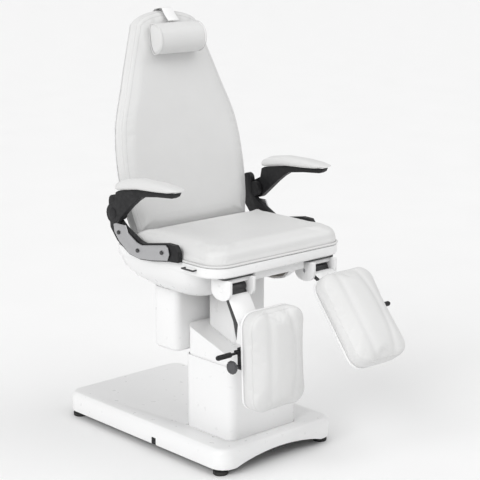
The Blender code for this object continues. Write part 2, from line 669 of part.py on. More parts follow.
# ---- leg rests -----------------------------------------------------------
def build_leg(look, side, name):
    swivel, leg, slide = f"{name}_swivel", f"{name}_leg", f"{name}_slide"
    pivot = Vector((side * LEG_PIN.x, LEG_PIN.y, LEG_PIN.z))

    def across(*outward):
        """X positions from distances outward of the pivot."""
        return tuple(pivot.x + side * value for value in outward)

    def side_view(points):
        return [(pivot.y + y, pivot.z + z) for y, z in points]

    # plate under the seat pan, with the pin that the housing swivels on
    x = sorted(across(-0.066, 0.060))
    plate = loft([rounded_rectangle(x, (-0.186, -0.086), z, 0.012) for z in (0.6595, 0.6655)])
    plate = add_piece(f"{name}_swivel_plate", plate, look["black_steel"], "seat")
    join(plate, rod((pivot.x, pivot.y, 0.6460), (pivot.x, pivot.y, 0.6620), PIN_RADIUS, 12), "seat")

    # housing: a D seen from the side, hollow and open at the front and below
    lower = [(0.043 * math.cos(a), -0.006 - 0.028 * math.sin(a))
             for a in (math.pi * k / 10 for k in range(11))]
    outline = side_view([(-0.043, 0.0330), (0.043, 0.0330)] + lower)
    housing = plate_x(outline, across(-HOUSING_HALF, HOUSING_HALF))
    housing = add_piece(f"{name}_leg_housing", housing, look["white_plastic"], swivel)
    hollow = block(across(-HOUSING_INNER, HOUSING_INNER), (pivot.y - 0.06, pivot.y + 0.036),
                   (pivot.z - 0.06, pivot.z + 0.0190))
    cut(housing, hollow, swivel)
    # the roof ends behind the front, so that the leg rest can rise
    notch = block(across(-HOUSING_INNER, HOUSING_INNER), (pivot.y - 0.06, pivot.y - 0.0195),
                  (pivot.z - 0.02, pivot.z + 0.040))
    cut(housing, notch, swivel)
    cut(housing, hole_x(pivot, across(-0.06, 0.06)), swivel)
    cut(housing, rod((pivot.x, pivot.y, 0.63), (pivot.x, pivot.y, 0.67), PIN_HOLE, 12), swivel)
    shaft = rod((across(-0.0525)[0], pivot.y, pivot.z), (across(0.0525)[0], pivot.y, pivot.z),
                PIN_RADIUS, 12)
    add_piece(f"{name}_leg_shaft", shaft, look["steel"], swivel)

    # arm: a barrel on the shaft with a slanting bar below it
    half = HOUSING_INNER - 0.0005
    barrel = rod((across(-half)[0], pivot.y, pivot.z), (across(half)[0], pivot.y, pivot.z), 0.0135)
    arm = add_piece(f"{name}_leg_arm", barrel, look["black_steel"], leg)
    bar = side_view([
        (-0.0090, -0.004), (-0.0200, -0.0250), (-0.0620, -0.1000), (-0.0520, -0.1560),
        (-0.0390, -0.0950), (-0.0080, -0.0320), (0.0060, -0.0250), (0.0085, -0.004),
    ])
    join(arm, plate_x(bar, across(-0.040, 0.040)), leg)
    cut(arm, hole_x(pivot, across(-0.06, 0.06)), leg)

    # bracket in front of the arm, which becomes the rail that the pad slides on
    front = [(-0.0195, -0.0180), (-0.0265, -0.0235), (-0.0750, -0.1080), (RAIL_FRONT, -0.1600),
             (RAIL_FRONT, RAIL_END)]
    back = [(RAIL_BACK, RAIL_END), (RAIL_BACK, -0.1660), (-0.0525, -0.1600), (-0.0628, -0.0996),
            (-0.0206, -0.0243), (-0.0172, -0.0180)]
    bracket = plate_x(side_view(front + back), across(-0.0425, 0.0425))
    add_piece(f"{name}_leg_bracket", bracket, look["white_plastic"], leg)

    # sliding clamp, board and pad
    back, front = RAIL_BACK + 0.0085, RAIL_FRONT
    clamp_outline = [
        (-0.056, front), (-0.056, back), (0.056, back), (0.056, front),
        (0.0430, front), (0.0430, RAIL_BACK + 0.0005), (-0.0430, RAIL_BACK + 0.0005),
        (-0.0430, front),
    ]
    clamp = loft([
        [Vector((across(x)[0], pivot.y + y, pivot.z + z)) for x, y in clamp_outline]
        for z in (CLAMP_BOTTOM, CLAMP_TOP)
    ])
    clamp = add_piece(f"{name}_leg_clamp", clamp, look["black_plastic"], slide)
    lever_place, knob_place = PLACE[f"{name}_lever"], PLACE[f"{name}_knob"]
    for end in (-1, 1):
        ear_y = sorted(lever_place.y + end * depth for depth in (0.0070, 0.0095))
        ear = block(across(0.0555, 0.0700), ear_y, (lever_place.z - 0.007, lever_place.z + 0.007))
        join(clamp, ear, slide)
    pin_hole = rod(lever_place - Vector((0, 0.012, 0)), lever_place + Vector((0, 0.012, 0)),
                   0.0024, 12)
    cut(clamp, pin_hole, slide)
    cut(clamp, rod((across(0.040)[0], knob_place.y, knob_place.z),
                   (across(0.060)[0], knob_place.y, knob_place.z), 0.0045, 12), slide)

    def pad_ring(inset, depth, half_width=PAD_HALF, radius=0.046):
        middle = across(-PAD_INWARD)[0]
        edge = half_width - inset
        flat = rounded_rectangle((middle - edge, middle + edge),
                                 (PAD_BOTTOM + inset, PAD_TOP - inset), 0.0, radius - inset, 5)
        return [Vector((p.x, pivot.y + depth, pivot.z + p.y)) for p in flat]

    rear = BOARD_BACK
    board = loft([pad_ring(0.006, rear), pad_ring(0.002, rear - 0.004), pad_ring(0.002, -0.1042)])
    add_piece(f"{name}_leg_board", board, look["white_plastic"], slide)
    rings = [
        pad_ring(0.003, PAD_BACK), pad_ring(0.0, PAD_BACK - 0.004), pad_ring(0.0, PAD_SEAM),
        pad_ring(0.012, PAD_SEAM - 0.012), pad_ring(0.034, PAD_FRONT),
    ]
    add_piece(f"{name}_leg_pad", loft(rings), look["upholstery"], slide)

    # clamp knob and release lever on the outer side
    knob = turned(knob_place, (side, 0, 0), (
        (-0.0128, 0.0040), (0.0240, 0.0040), (0.0240, 0.0175), (0.0265, 0.0195), (0.0360, 0.0195),
        (0.0395, 0.0165),
    ), 16)
    add_piece(f"{name}_leg_knob", knob, look["knob_plastic"], f"{name}_knob")
    lever = turned(lever_place, (side, 0, 0), (
        (-0.0035, 0.0042), (0.026, 0.0042), (0.030, 0.0082), (0.081, 0.0082), (0.085, 0.0060)
    ), 12)
    lever = add_piece(f"{name}_leg_lever", lever, look["black_plastic"], f"{name}_lever")
    for radius, half in ((0.0062, 0.0065), (0.0020, 0.0092)):
        reach = Vector((0, half, 0))
        join(lever, rod(lever_place - reach, lever_place + reach, radius, 12), f"{name}_lever")


# ---- the chair -----------------------------------------------------------
def add_joints():
    add_joint("chair_origin", None, (0, 0, 0))
    add_joint("sleeve", "chair_origin", (0, 0, 0))
    add_joint("lift", "chair_origin", (0, 0, 0))
    add_joint("seat", "lift", TILT_PIN)
    add_joint("back", "seat", BACK_PIN)
    for side, name in ((LEFT, "left"), (RIGHT, "right")):
        mirrored = Vector((side, 1, 1))
        add_joint(f"{name}_arm", "seat", ARM_PIN * mirrored)
        pivot = LEG_PIN * mirrored
        add_joint(f"{name}_swivel", "seat", pivot)
        add_joint(f"{name}_leg", f"{name}_swivel", pivot, -LEG_RAISE[side])
        add_joint(f"{name}_slide", f"{name}_leg", pivot, slid=LEG_EXTENSION[side])
        knob = pivot + Vector((side * (0.056 + GAP), KNOB_DEPTH, KNOB_DROP))
        lever = pivot + Vector((side * 0.063, KNOB_DEPTH, LEVER_DROP))
        add_joint(f"{name}_knob", f"{name}_slide", knob)
        add_joint(f"{name}_lever", f"{name}_slide", lever)


def build_chair():
    clear_scene()
    look = {name: make_look(name) for name in LOOKS}
    look[None] = None
    add_joints()
    build_base(look)
    build_lift(look)
    build_seat(look)
    build_back(look)
    for side, name in ((LEFT, "left"), (RIGHT, "right")):
        build_bracket(look, side, name)
        build_arm(look, side, name)
        build_leg(look, side, name)


build_chair()
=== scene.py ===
"""Looks of the electric pedicure chair: upholstery, mouldings, metal, floor, light and camera.

Everything is in metres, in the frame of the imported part: +Z up, the sitter faces -Y.
Soft pieces are padded forms inflated with cloth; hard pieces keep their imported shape.
"""

import json
import math

import bmesh
import bpy
from mathutils import Matrix, Vector, noise
from mathutils.bvhtree import BVHTree
from mathutils.kdtree import KDTree


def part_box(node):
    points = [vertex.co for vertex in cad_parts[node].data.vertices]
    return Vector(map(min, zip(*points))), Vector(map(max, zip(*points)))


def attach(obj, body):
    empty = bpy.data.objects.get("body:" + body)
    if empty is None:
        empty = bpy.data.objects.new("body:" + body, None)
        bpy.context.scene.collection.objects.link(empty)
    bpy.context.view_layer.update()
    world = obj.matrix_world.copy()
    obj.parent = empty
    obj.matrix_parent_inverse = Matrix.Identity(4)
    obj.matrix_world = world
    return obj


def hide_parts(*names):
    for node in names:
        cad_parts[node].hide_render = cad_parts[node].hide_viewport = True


BACK_LEAN = math.radians(11.0)  # the backrest's angle from upright
SIDES = ("left", "right")

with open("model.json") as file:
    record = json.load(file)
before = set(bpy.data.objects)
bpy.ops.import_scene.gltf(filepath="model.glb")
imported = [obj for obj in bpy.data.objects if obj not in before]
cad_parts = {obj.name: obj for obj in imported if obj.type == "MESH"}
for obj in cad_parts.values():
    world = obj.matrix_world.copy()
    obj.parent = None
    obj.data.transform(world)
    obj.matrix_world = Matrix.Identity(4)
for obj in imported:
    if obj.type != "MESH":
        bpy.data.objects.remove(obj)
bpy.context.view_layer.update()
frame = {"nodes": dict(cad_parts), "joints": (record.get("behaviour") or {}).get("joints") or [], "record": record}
joints = {joint["name"]: joint for joint in frame["joints"]}
slot_of = {part["node"]: part["material_slot"] for part in frame["record"]["subparts"]}


# ---- materials -------------------------------------------------------------
class Look:
    """A procedural material: a Principled shader and short calls that wire nodes to it."""

    def __init__(self, name, colour, roughness, metallic=0.0, **sockets):
        self.material = bpy.data.materials.new(name)
        self.material.use_nodes = True
        self.tree = self.material.node_tree
        self.shader = self.tree.nodes["Principled BSDF"]
        self.coords = self.tree.nodes.new("ShaderNodeTexCoord").outputs["Object"]
        self.normal = None
        self.set(self.shader, {"Base Color": (*colour, 1.0), "Roughness": roughness,
                               "Metallic": metallic, **sockets})

    def set(self, node, values):
        for name, value in values.items():
            node.inputs[name].default_value = value

    def link(self, output, node, name):
        self.tree.links.new(output, node.inputs[name])

    def stretched(self, scale):
        mapping = self.tree.nodes.new("ShaderNodeMapping")
        mapping.inputs["Scale"].default_value = scale
        self.link(self.coords, mapping, "Vector")
        return mapping.outputs["Vector"]

    def noise(self, scale, detail=4.0, roughness=0.5, vector=None):
        node = self.tree.nodes.new("ShaderNodeTexNoise")
        self.set(node, {"Scale": scale, "Detail": detail, "Roughness": roughness})
        self.link(vector or self.coords, node, "Vector")
        return node.outputs["Fac"]

    def cells(self, scale):
        node = self.tree.nodes.new("ShaderNodeTexVoronoi")
        self.set(node, {"Scale": scale})
        self.link(self.coords, node, "Vector")
        return node.outputs["Distance"]

    def ramp(self, factor, low, high, start=0.3, end=0.7):
        """Maps factor between two colours or two grey values."""
        node = self.tree.nodes.new("ShaderNodeValToRGB")
        for element, place, value in zip(node.color_ramp.elements, (start, end), (low, high)):
            element.position = place
            element.color = (*value, 1.0) if hasattr(value, "__len__") else (value,) * 3 + (1.0,)
        self.link(factor, node, "Fac")
        return node.outputs["Color"]

    def bump(self, height, strength, distance):
        node = self.tree.nodes.new("ShaderNodeBump")
        self.set(node, {"Strength": strength, "Distance": distance})
        self.link(height, node, "Height")
        if self.normal:
            self.link(self.normal, node, "Normal")
        self.normal = node.outputs["Normal"]
        self.link(self.normal, self.shader, "Normal")

    def paint(self, socket, output):
        self.link(output, self.shader, socket)


def leather():
    """Pale synthetic leather: pebble grain, soft creases, slight soiling."""
    look = Look("upholstery", (0.69, 0.69, 0.685), 0.5)
    look.set(look.shader, {"Sheen Weight": 0.08, "Sheen Roughness": 0.4})
    look.set(look.shader, {"Specular IOR Level": 0.42})
    soiling = look.noise(7.0, 6.0)
    look.paint("Base Color", look.ramp(soiling, (0.690, 0.690, 0.686), (0.715, 0.715, 0.712)))
    look.paint("Roughness", look.ramp(look.noise(160.0, 3.0), 0.42, 0.58))
    look.bump(look.noise(26.0, 3.0, 0.6), 0.10, 0.004)
    look.bump(look.cells(760.0), 0.22, 0.0006)
    return look.material


def white_plastic():
    """Vacuum-formed white plastic: satin, with very faint changes of tint and gloss."""
    look = Look("white_plastic", (0.86, 0.86, 0.86), 0.28)
    look.set(look.shader, {"Coat Weight": 0.12, "Coat Roughness": 0.30})
    tint = look.noise(4.0, 5.0)
    look.paint("Base Color", look.ramp(tint, (0.854, 0.855, 0.857), (0.864, 0.864, 0.862)))
    look.paint("Roughness", look.ramp(look.noise(34.0, 6.0), 0.27, 0.32))
    return look.material


def black_plastic():
    """Matt moulded plastic with a fine spark-eroded texture."""
    look = Look("black_plastic", (0.011, 0.011, 0.012), 0.5)
    look.set(look.shader, {"Specular IOR Level": 0.32})
    wear = look.noise(18.0, 5.0)
    look.paint("Base Color", look.ramp(wear, (0.009, 0.009, 0.010), (0.015, 0.015, 0.016)))
    look.paint("Roughness", look.ramp(look.noise(90.0, 5.0), 0.40, 0.62))
    look.bump(look.noise(1500.0, 2.0), 0.25, 0.0004)
    return look.material


def black_steel():
    """Powder-coated steel with a slight texture."""
    look = Look("black_steel", (0.03, 0.03, 0.031), 0.42, 0.0)
    look.set(look.shader, {"Coat Weight": 0.25, "Coat Roughness": 0.25})
    look.paint("Roughness", look.ramp(look.noise(120.0, 4.0), 0.34, 0.52))
    look.bump(look.noise(900.0, 3.0), 0.22, 0.0005)
    return look.material


def brushed(name, colour, roughness, direction):
    """Metal brushed along one axis."""
    look = Look(name, colour, roughness, 1.0, Anisotropic=0.45)
    lines = look.noise(90.0, 6.0, 0.7, look.stretched(direction))
    look.paint("Roughness", look.ramp(lines, roughness - 0.07, roughness + 0.12))
    dark, bright = ([channel * share for channel in colour] for share in (0.9, 1.06))
    look.paint("Base Color", look.ramp(lines, dark, bright))
    look.bump(lines, 0.12, 0.0004)
    return look.material


def rubber():
    look = Look("rubber", (0.018, 0.018, 0.018), 0.78)
    dust = look.noise(60.0, 5.0)
    look.paint("Base Color", look.ramp(dust, (0.013, 0.013, 0.013), (0.030, 0.029, 0.028)))
    look.bump(look.noise(420.0, 4.0), 0.3, 0.0006)
    return look.material


def plywood():
    """Birch plywood: long grain and a warm variation."""
    look = Look("plywood", (0.55, 0.42, 0.27), 0.7)
    grain = look.noise(30.0, 8.0, 0.6, look.stretched((1.0, 14.0, 14.0)))
    look.paint("Base Color", look.ramp(grain, (0.42, 0.30, 0.18), (0.66, 0.52, 0.36)))
    look.bump(grain, 0.2, 0.0005)
    return look.material


def knob_plastic():
    look = Look("knob_plastic", (0.07, 0.07, 0.075), 0.45)
    wear = look.noise(50.0, 5.0)
    look.paint("Base Color", look.ramp(wear, (0.055, 0.055, 0.060), (0.090, 0.090, 0.095)))
    look.paint("Roughness", look.ramp(look.noise(140.0, 4.0), 0.38, 0.58))
    look.bump(look.noise(1200.0, 2.0), 0.2, 0.0004)
    return look.material


def thread():
    """Sewing thread in the upholstery's colour, a shade darker, twisted."""
    look = Look("thread", (0.50, 0.50, 0.50), 0.65)
    twist = look.noise(700.0, 3.0)
    look.paint("Base Color", look.ramp(twist, (0.42, 0.42, 0.42), (0.58, 0.58, 0.575)))
    look.bump(look.noise(2600.0, 2.0), 0.4, 0.0002)
    return look.material


MATERIALS = {
    "upholstery": leather(),
    "white_plastic": white_plastic(),
    "black_plastic": black_plastic(),
    "black_steel": black_steel(),
    "aluminium": brushed("aluminium", (0.50, 0.50, 0.51), 0.32, (1.0, 1.0, 16.0)),
    "steel": brushed("steel", (0.46, 0.46, 0.48), 0.34, (16.0, 1.0, 1.0)),
    "rubber": rubber(),
    "plywood": plywood(),
    "knob_plastic": knob_plastic(),
    "thread": thread(),
}


# ---- mesh helpers ----------------------------------------------------------
def make_piece(name, shape, slot, body, material=None, smooth_angle=None):
    """An object from a bmesh, riding on a body, with its slot's material."""
    bmesh.ops.recalc_face_normals(shape, faces=shape.faces)
    mesh = bpy.data.meshes.new(name)
    shape.to_mesh(mesh)
    shape.free()
    mesh.shade_smooth()
    if smooth_angle:
        mesh.set_sharp_from_angle(angle=math.radians(smooth_angle))
    mesh.materials.append(MATERIALS[material or slot])
    piece = bpy.data.objects.new(name, mesh)
    bpy.context.scene.collection.objects.link(piece)
    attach(piece, body)
    return piece


def loft(rings, closed=False, shape=None):
    """Skins rings of equal length. closed joins the last to the first; else the ends are capped."""
    shape = shape or bmesh.new()
    rows = [[shape.verts.new(point) for point in ring] for ring in rings]
    pairs = list(zip(rows, rows[1:]))
    if closed:
        pairs.append((rows[-1], rows[0]))
    for low, high in pairs:
        for k in range(len(low)):
            n = (k + 1) % len(low)
            shape.faces.new((low[k], low[n], high[n], high[k]))
    if not closed:
        shape.faces.new(rows[0][::-1])
        shape.faces.new(rows[-1])
    return shape


def circle(centre, radius, along, sides=16):
    along = Vector(along).normalized()
    first = along.orthogonal().normalized()
    second = along.cross(first)
    turns = (math.tau * k / sides for k in range(sides))
    return [Vector(centre) + radius * (first * math.cos(a) + second * math.sin(a)) for a in turns]


def turned(centre, along, profile, sides=32, shape=None):
    """A solid of revolution from (distance along, radius) pairs."""
    along = Vector(along).normalized()
    centre = Vector(centre)
    return loft([circle(centre + along * d, r, along, sides) for d, r in profile], shape=shape)


def rounded_rectangle(x, y, radius, steps=8, rear_radius=None):
    """Corner arcs in a plane, counter-clockwise from the low-y, high-x corner, as (x, y) pairs."""
    rear = radius if rear_radius is None else rear_radius
    corners = (
        (x[1], y[0], radius, -90), (x[1], y[1], rear, 0),
        (x[0], y[1], rear, 90), (x[0], y[0], radius, 180),
    )
    points = []
    for corner_x, corner_y, r, start in corners:
        centre_x = corner_x - math.copysign(r, corner_x - sum(x) / 2)
        centre_y = corner_y - math.copysign(r, corner_y - sum(y) / 2)
        for k in range(steps + 1):
            angle = math.radians(start + 90 * k / steps)
            points.append((centre_x + r * math.cos(angle), centre_y + r * math.sin(angle)))
    return points


def resampled(points, spacing, closed=True):
    """Points at an even spacing along a polyline."""
    points = [Vector(p) for p in points]
    if closed:
        points.append(points[0])
    lengths = [0.0]
    for a, b in zip(points, points[1:]):
        lengths.append(lengths[-1] + (b - a).length)
    count = max(2, round(lengths[-1] / spacing))
    found, k = [], 0
    for i in range(count if closed else count + 1):
        target = lengths[-1] * i / count
        while k < len(lengths) - 2 and lengths[k + 1] < target:
            k += 1
        share = (target - lengths[k]) / max(lengths[k + 1] - lengths[k], 1e-9)
        found.append(points[k].lerp(points[k + 1], min(share, 1.0)))
    return found


def tube_shape(points, radius, closed=True, sides=8, shape=None):
    """A round bead along a path."""
    shape = shape or bmesh.new()
    rings, normal = [], None
    count = len(points)
    for k, point in enumerate(points):
        before = points[k - 1] if closed or k else points[0]
        after = points[(k + 1) % count] if closed or k < count - 1 else points[-1]
        run = (after - before).normalized()
        normal = run.orthogonal() if normal is None else normal - run * normal.dot(run)
        normal.normalize()
        side = run.cross(normal)
        turns = (math.tau * i / sides for i in range(sides))
        rings.append([point + radius * (normal * math.cos(a) + side * math.sin(a)) for a in turns])
    if not closed:
        return loft(rings, shape=shape)
    # line the last ring up with the first before closing the loop
    first, last = rings[0], rings[-1]
    def twist(shift):
        return sum((first[(i + shift) % sides] - last[i]).length for i in range(sides))

    turn = min(range(sides), key=twist)
    rows = [[shape.verts.new(p) for p in ring] for ring in rings]
    for k in range(count):
        low = rows[k]
        high = rows[(k + 1) % count]
        shift = turn if k == count - 1 else 0
        for i in range(sides):
            n = (i + 1) % sides
            shape.faces.new((low[i], low[n], high[(n + shift) % sides], high[(i + shift) % sides]))
    return shape


# ---- padded pieces ---------------------------------------------------------
def bake_modifiers(piece):
    graph = bpy.context.evaluated_depsgraph_get()
    mesh = bpy.data.meshes.new_from_object(piece.evaluated_get(graph))
    mesh.name = piece.name
    piece.modifiers.clear()
    piece.data = mesh


def inflate(piece, held, voxel, cap, pressure=4.0):
    """Remeshes a padded form, fills it with air as cloth, and refines it once.

    held(point) says which points rest on a board and stay where they are. No point moves
    further than cap.
    """
    remesh = piece.modifiers.new("remesh", "REMESH")
    remesh.mode = "VOXEL"
    remesh.voxel_size = voxel
    soften = piece.modifiers.new("soften", "SMOOTH")
    soften.iterations = 4
    bake_modifiers(piece)
    start = [v.co.copy() for v in piece.data.vertices]
    group = piece.vertex_groups.new(name="held")
    group.add([i for i, co in enumerate(start) if held(co)], 1.0, "REPLACE")
    cloth = piece.modifiers.new("cloth", "CLOTH")
    cloth.settings.quality = 4
    cloth.settings.tension_stiffness = 25
    cloth.settings.compression_stiffness = 25
    cloth.settings.bending_stiffness = 2.0
    cloth.settings.use_pressure = True
    cloth.settings.uniform_pressure_force = pressure
    cloth.settings.vertex_group_mass = "held"
    cloth.settings.effector_weights.gravity = 0.0
    cloth.collision_settings.use_collision = False
    cloth.collision_settings.use_self_collision = False
    for step in range(1, 21):
        bpy.context.scene.frame_set(step)
    graph = bpy.context.evaluated_depsgraph_get()
    swollen = piece.evaluated_get(graph).data
    moved = [v.co.copy() for v in swollen.vertices]
    piece.modifiers.clear()
    piece.vertex_groups.clear()
    for vertex, rest, there in zip(piece.data.vertices, start, moved):
        step = there - rest
        if step.length > cap:
            step *= cap / step.length
        vertex.co = rest + step
    bpy.context.scene.frame_set(1)
    soften = piece.modifiers.new("soften", "SMOOTH")
    soften.iterations = 3
    refine = piece.modifiers.new("refine", "SUBSURF")
    refine.levels = refine.render_levels = 1
    bake_modifiers(piece)
    piece.data.shade_smooth()


def keep_within(piece, low, high, into=None):
    """Presses points that swelled past a box back onto it. into leads to the box's frame."""
    back = into.inverted() if into else None
    for vertex in piece.data.vertices:
        point = into @ vertex.co if into else vertex.co.copy()
        for axis in range(3):
            point[axis] = min(max(point[axis], low[axis]), high[axis])
        vertex.co = back @ point if back else point


def path_tree(path):
    tree = KDTree(len(path))
    for k, point in enumerate(path):
        tree.insert(point, k)
    tree.balance()
    return tree


def press_seam(piece, path, depth, width, toward):
    """Draws the surface in along a path, towards a direction, as a sewn seam does."""
    tree = path_tree(path)
    toward = Vector(toward)
    for vertex in piece.data.vertices:
        distance = tree.find(vertex.co)[2]
        if distance < 3 * width:
            vertex.co += toward * depth * math.exp(-((distance / width) ** 2))


def surface_tree(piece):
    mesh = piece.data
    return BVHTree.FromPolygons([v.co for v in mesh.vertices], [p.vertices for p in mesh.polygons])


def onto_surface(piece, points, along, reach=0.08):
    """Drops points onto a piece, looking along a direction from outside it."""
    tree = surface_tree(piece)
    along = Vector(along).normalized()
    found = []
    for point in points:
        hit = tree.ray_cast(point - along * reach, along, 2 * reach)[0]
        if hit is None:
            hit = tree.find_nearest(point)[0]
        found.append(hit)
    return found


def nearest_on(piece, points):
    """The nearest point of a piece's surface to each point."""
    tree = surface_tree(piece)
    return [tree.find_nearest(point)[0] for point in points]


def stitches(name, path, length, gap, radius, body, normal):
    """A row of short thread stitches lying along a path."""
    shape = bmesh.new()
    normal = Vector(normal).normalized()
    points = resampled(path, length + gap, closed=False)
    for a, b in zip(points, points[1:]):
        run = b - a
        if run.length < 1e-6:
            continue
        run.normalize()
        end = a + run * length
        middle = (a + end) / 2 + normal * radius * 0.6
        sunk = normal * radius * 0.4
        tube_shape([a - sunk, middle, end - sunk], radius, False, 6, shape)
    make_piece(name, shape, "upholstery", body, "thread")


def local_box(node, into):
    """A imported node's box in another frame."""
    points = [into @ vertex.co for vertex in frame["nodes"][node].data.vertices]
    low = Vector([min(p[axis] for p in points) for axis in range(3)])
    high = Vector([max(p[axis] for p in points) for axis in range(3)])
    return low, high


def crown_rings(outline, centre, rise, steps=7, power=2.6):
    """Rings from an outline towards its centre, each with how far it has risen: a pillowed face."""
    rings = []
    for k in range(1, steps + 1):
        share = 1.0 - 0.93 * k / steps
        height = rise * (1.0 - share**power)
        ring = [(centre[0] + (x - centre[0]) * share, centre[1] + (y - centre[1]) * share)
                for x, y in outline]
        rings.append((ring, height))
    return rings


def inset_outline(outline, inset):
    """Moves each point of a closed outline inwards, square to its neighbours."""
    moved = []
    for k, (x, y) in enumerate(outline):
        before, after = outline[k - 1], outline[(k + 1) % len(outline)]
        run = Vector((after[0] - before[0], after[1] - before[1]))
        if run.length < 1e-9:
            moved.append((x, y))
            continue
        run.normalize()
        moved.append((x - run.y * inset, y + run.x * inset))
    return moved


# ---- seat cushion ----------------------------------------------------------
def build_seat_cushion():
    low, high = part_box("seat_cushion")
    skin = 0.003  # room for the cover to swell
    x = (low.x + skin, high.x - skin)
    y = (low.y + skin, high.y + 0.007)
    outline = rounded_rectangle(x, y, 0.066, 10, 0.020)
    top = high.z
    rings = []
    # bottom, side and a rounded shoulder, as (inset, height)
    shoulder = 0.026
    levels = [(0.007, low.z + 0.0004), (0.0015, low.z + 0.005), (0.0, low.z + 0.016)]
    for k in range(7):
        angle = math.radians(90 * k / 6)
        inset, drop = shoulder * (1 - math.cos(angle)), shoulder * (1 - math.sin(angle))
        levels.append((inset, top + 0.005 - drop))
    for inset, z in levels:
        rings.append([Vector((px, py, z)) for px, py in inset_outline(outline, inset)])
    middle = (0.0, sum(y) / 2)
    for ring, rise in crown_rings(inset_outline(outline, shoulder), middle, 0.007):
        rings.append([Vector((px, py, top + 0.005 + rise)) for px, py in ring])
    piece = make_piece("seat_upholstery", loft(rings), "upholstery", "seat")
    inflate(piece, lambda p: p.z < low.z + 0.012, 0.0055, 0.006)
    keep_within(piece, (low.x, low.y, low.z + 0.0003), (high.x, high.y + 0.0085, top + 0.013))

    # the cover is sewn to a boxing strip round the sides
    seam_z = low.z + 0.013
    seam = resampled([(px, py, seam_z) for px, py in inset_outline(outline, -0.004)], 0.004)
    inward = [Vector((-p.x, middle[1] - p.y, 0)).normalized() for p in seam]
    tree = path_tree(seam)
    for vertex in piece.data.vertices:
        _, k, distance = tree.find(vertex.co)
        if distance < 0.014:
            vertex.co += inward[k] * 0.0018 * math.exp(-((distance / 0.0045) ** 2))
    # faint pull creases from the front corners, where the cover is stretched over the foam
    for vertex in piece.data.vertices:
        p = vertex.co
        if p.z > low.z + 0.018:
            nearness = max(0.0, 1.0 - min(abs(p.x - x[0]), abs(p.x - x[1])) / 0.14)
            nearness *= max(0.0, 1.0 - (p.y - y[0]) / 0.16)
            if nearness:
                wave = noise.noise(Vector((abs(p.x) * 28 - p.y * 34, p.y * 6, 3.0)))
                vertex.co.z += 0.0016 * nearness * wave
    bead = [(px, py, low.z + 0.0040) for px, py in inset_outline(outline, -0.0008)]
    make_piece("seat_piping", tube_shape(resampled(bead, 0.005), 0.0040), "upholstery", "seat")
    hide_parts("seat_cushion")


# ---- backrest --------------------------------------------------------------
BACK_AXES = Matrix((
    (1.0, 0.0, 0.0),
    (0.0, math.sin(BACK_LEAN), math.cos(BACK_LEAN)),
    (0.0, math.cos(BACK_LEAN), -math.sin(BACK_LEAN)),
)).to_4x4()  # row frame to (across, up along the backrest, back through it)


def back_frame():
    """Row frame to the backrest's own: origin at the front face's foot."""
    low, _ = local_box("backrest_cushion", BACK_AXES)
    return Matrix.Translation((0.0, -low.y, -low.z)) @ BACK_AXES


def back_outline(into):
    """The backrest's outline as (across, up) points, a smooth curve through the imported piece's."""
    right = sorted({
        (round(p.y, 5), round(p.x, 5))
        for p in (into @ v.co for v in frame["nodes"]["backrest_cushion"].data.vertices)
        if p.x >= -1e-6 and 0.015 < p.z < 0.042
    })
    # one point per height: the widest
    widest = {}
    for up, across in right:
        widest[up] = max(across, widest.get(up, 0.0))
    knots = [(across, up) for up, across in sorted(widest.items())]
    points = []
    for k in range(len(knots) - 1):
        p0, p1, p2 = knots[max(k - 1, 0)], knots[k], knots[k + 1]
        p3 = knots[min(k + 2, len(knots) - 1)]
        if k + 2 >= len(knots):  # the outline runs level over the top
            p3 = (-p1[0], p1[1])
        for i in range(5):
            t = i / 5
            points.append(tuple(
                0.5 * (2 * b + (c - a) * t + (2 * a - 5 * b + 4 * c - d) * t * t
                       + (3 * b - a - 3 * c + d) * t**3)
                for a, b, c, d in zip(p0, p1, p2, p3)
            ))
    points.append((0.0, knots[-1][1]))
    # the cover rolls a little further down than the foam's corner
    points = [(across, up - 0.009 * max(0.0, 1.0 - up / 0.05)) for across, up in points]
    outline = points + [(-across, up) for across, up in reversed(points[:-1])]
    return [(p.x, p.y) for p in resampled([(a, u, 0.0) for a, u in outline], 0.008)]


def build_back_cushion():
    into = back_frame()
    out = into.inverted()
    outline = back_outline(into)
    low, high = local_box("backrest_cushion", into)
    seam_depth, depth = 0.0125, high.z

    def placed(points, z):
        return [out @ Vector((across, up, z)) for across, up in points]

    rings = [
        placed(inset_outline(outline, 0.0045), depth - 0.0004),
        placed(inset_outline(outline, 0.0015), depth - 0.005),
        placed(inset_outline(outline, 0.001), depth - 0.014),
        placed(inset_outline(outline, 0.001), seam_depth + 0.006),
        placed(inset_outline(outline, 0.003), seam_depth - 0.002),
        placed(inset_outline(outline, 0.008), seam_depth - 0.0055),
        placed(inset_outline(outline, 0.016), seam_depth - 0.0075),
    ]
    for ring, rise in crown_rings(inset_outline(outline, 0.016), (0.0, 0.33), 0.0058):
        rings.append(placed(ring, seam_depth - 0.0075 - rise))
    piece = make_piece("backrest_upholstery", loft(rings), "upholstery", "back")
    inflate(piece, lambda p: (into @ p).z > depth - 0.010, 0.0055, 0.005)
    keep_within(piece, (low.x, low.y - 0.010, -0.0018), (high.x, high.y, depth - 0.0002), into)

    # two seams: a piped one along the edge and a sewn line inside it
    forward = out.to_3x3() @ Vector((0, 0, 1))
    edge = resampled(placed(inset_outline(outline, 0.002), seam_depth - 0.003), 0.005)
    inner = resampled(placed(inset_outline(outline, 0.021), 0.0), 0.004)
    press_seam(piece, inner, 0.0016, 0.0042, forward)
    press_seam(piece, edge, 0.0012, 0.0040, forward)
    edge = nearest_on(piece, edge)
    make_piece("backrest_piping", tube_shape(edge, 0.0015), "upholstery", "back")
    line = onto_surface(piece, inner + inner[:1], forward, 0.03)
    stitches("backrest_stitching", line, 0.0042, 0.0016, 0.00042, "back", -forward)
    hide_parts("backrest_cushion")


